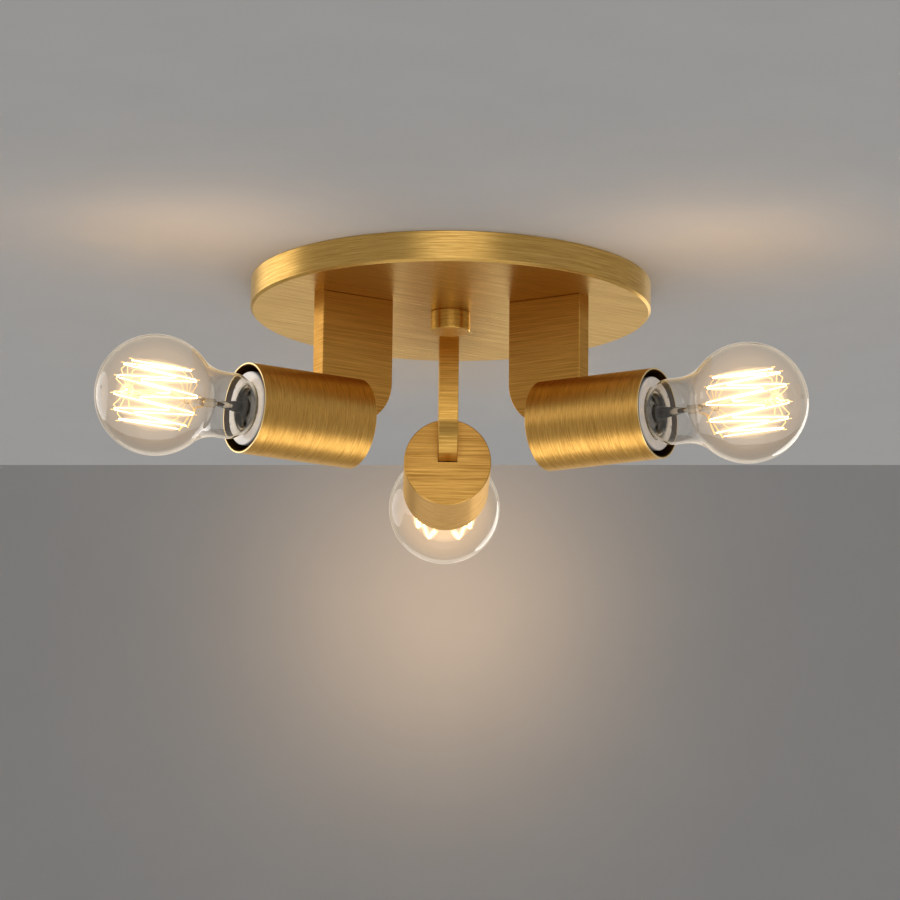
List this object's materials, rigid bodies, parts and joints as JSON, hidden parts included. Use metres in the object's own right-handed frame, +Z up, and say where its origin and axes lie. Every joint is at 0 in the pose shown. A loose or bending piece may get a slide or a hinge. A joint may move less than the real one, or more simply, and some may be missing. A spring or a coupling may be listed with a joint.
{
  "type": "semi flush ceiling light",
  "caption": "Semi flush ceiling light: a round shallow canopy, flat arms down from it, and horizontal cylinder cups that hold bare clear filament lamps.",
  "frame": {"origin": "centre of the canopy and crossbar in the ceiling plane, where the fixture is fixed", "axes": "+Z up out of the ceiling face, +Y along the back arm; the left and right arms stand 120 degrees to either side of it"},
  "size_m": [0.3488, 0.31, 0.1097],
  "materials": {
    "satin_brass": "satin brushed, fine straight lines and turned lines",
    "zinc_steel": "zinc plated, plain",
    "green_screw": "green passivated",
    "connector_plastic": "moulded, light grey",
    "plated_brass": "nickel plated, bright",
    "porcelain": "white glaze",
    "clear_glass": "clear, polished",
    "stem_glass": "clear, polished",
    "black_glass": "black, polished",
    "solder": "dull solder",
    "lamp_wire": "bright wire",
    "filament": "glowing wire",
    "live_insulation": "soft silicone sleeve",
    "neutral_insulation": "soft silicone sleeve"
  },
  "bodies": {
    "fixture": {"canopy": "satin_brass", "crossbar": "zinc_steel", "threaded_nipple": "zinc_steel", "lock_nut": "zinc_steel", "earth_screw": "green_screw", "live_connector": "connector_plastic", "neutral_connector": "connector_plastic", "connector_bars": "plated_brass", "arm_plugs": "zinc_steel", "arm_screws": "zinc_steel", "holder_brackets": "zinc_steel", "bracket_screws": "zinc_steel", "holder_screws": "zinc_steel", "back_arm": "satin_brass", "back_cup": "satin_brass", "back_holder_body": "porcelain", "back_holder_shell": "plated_brass", "back_holder_contact": "plated_brass", "back_live_lead": "live_insulation", "back_neutral_lead": "neutral_insulation", "left_arm": "satin_brass", "left_cup": "satin_brass", "left_holder_body": "porcelain", "left_holder_shell": "plated_brass", "left_holder_contact": "plated_brass", "left_live_lead": "live_insulation", "left_neutral_lead": "neutral_insulation", "right_arm": "satin_brass", "right_cup": "satin_brass", "right_holder_body": "porcelain", "right_holder_shell": "plated_brass", "right_holder_contact": "plated_brass", "right_live_lead": "live_insulation", "right_neutral_lead": "neutral_insulation"},
    "back_lamp_tip": {"back_bulb_tip": "solder"},
    "back_lamp": {"back_bulb_glass": "clear_glass", "back_bulb_cap": "plated_brass", "back_bulb_insulator": "black_glass", "back_bulb_stem": "stem_glass", "back_bulb_wires": "lamp_wire", "back_bulb_filament": "filament"},
    "left_lamp_tip": {"left_bulb_tip": "solder"},
    "left_lamp": {"left_bulb_glass": "clear_glass", "left_bulb_cap": "plated_brass", "left_bulb_insulator": "black_glass", "left_bulb_stem": "stem_glass", "left_bulb_wires": "lamp_wire", "left_bulb_filament": "filament"},
    "right_lamp_tip": {"right_bulb_tip": "solder"},
    "right_lamp": {"right_bulb_glass": "clear_glass", "right_bulb_cap": "plated_brass", "right_bulb_insulator": "black_glass", "right_bulb_stem": "stem_glass", "right_bulb_wires": "lamp_wire", "right_bulb_filament": "filament"},
    "finial_seat": {"finial_washer": "zinc_steel"},
    "finial": {"finial_nut": "satin_brass"}
  },
  "joints": [
    {"name": "back_lamp_travel", "type": "slide", "parent": "fixture", "child": "back_lamp_tip", "axis": [0, 1, 0], "range_m": [0, 0.01271]},
    {"name": "back_lamp_turn", "type": "hinge", "parent": "back_lamp_tip", "child": "back_lamp", "pos_m": [0, 0.0896, -0.08], "axis": [0, 1, 0], "range_deg": [0, 1260]},
    {"name": "left_lamp_travel", "type": "slide", "parent": "fixture", "child": "left_lamp_tip", "axis": [-0.866, -0.5, 0], "range_m": [0, 0.01271]},
    {"name": "left_lamp_turn", "type": "hinge", "parent": "left_lamp_tip", "child": "left_lamp", "pos_m": [-0.0776, -0.0448, -0.08], "axis": [-0.866, -0.5, 0], "range_deg": [0, 1260]},
    {"name": "right_lamp_travel", "type": "slide", "parent": "fixture", "child": "right_lamp_tip", "axis": [0.866, -0.5, 0], "range_m": [0, 0.01271]},
    {"name": "right_lamp_turn", "type": "hinge", "parent": "right_lamp_tip", "child": "right_lamp", "pos_m": [0.0776, -0.0448, -0.08], "axis": [0.866, -0.5, 0], "range_deg": [0, 1260]},
    {"name": "finial_travel", "type": "slide", "parent": "fixture", "child": "finial_seat", "axis": [0, 0, -1], "range_m": [0, 0.00751]},
    {"name": "finial_turn", "type": "hinge", "parent": "finial_seat", "child": "finial", "pos_m": [0, 0, -0.015], "axis": [0, 0, -1], "range_deg": [0, 2700]}
  ],
  "couplings": [
    {"joint": "back_lamp_travel", "follows": "back_lamp_turn", "m_per_rad": 0.00057757},
    {"joint": "left_lamp_travel", "follows": "left_lamp_turn", "m_per_rad": 0.00057757},
    {"joint": "right_lamp_travel", "follows": "right_lamp_turn", "m_per_rad": 0.00057757},
    {"joint": "finial_travel", "follows": "finial_turn", "m_per_rad": 0.00015915}
  ]
}
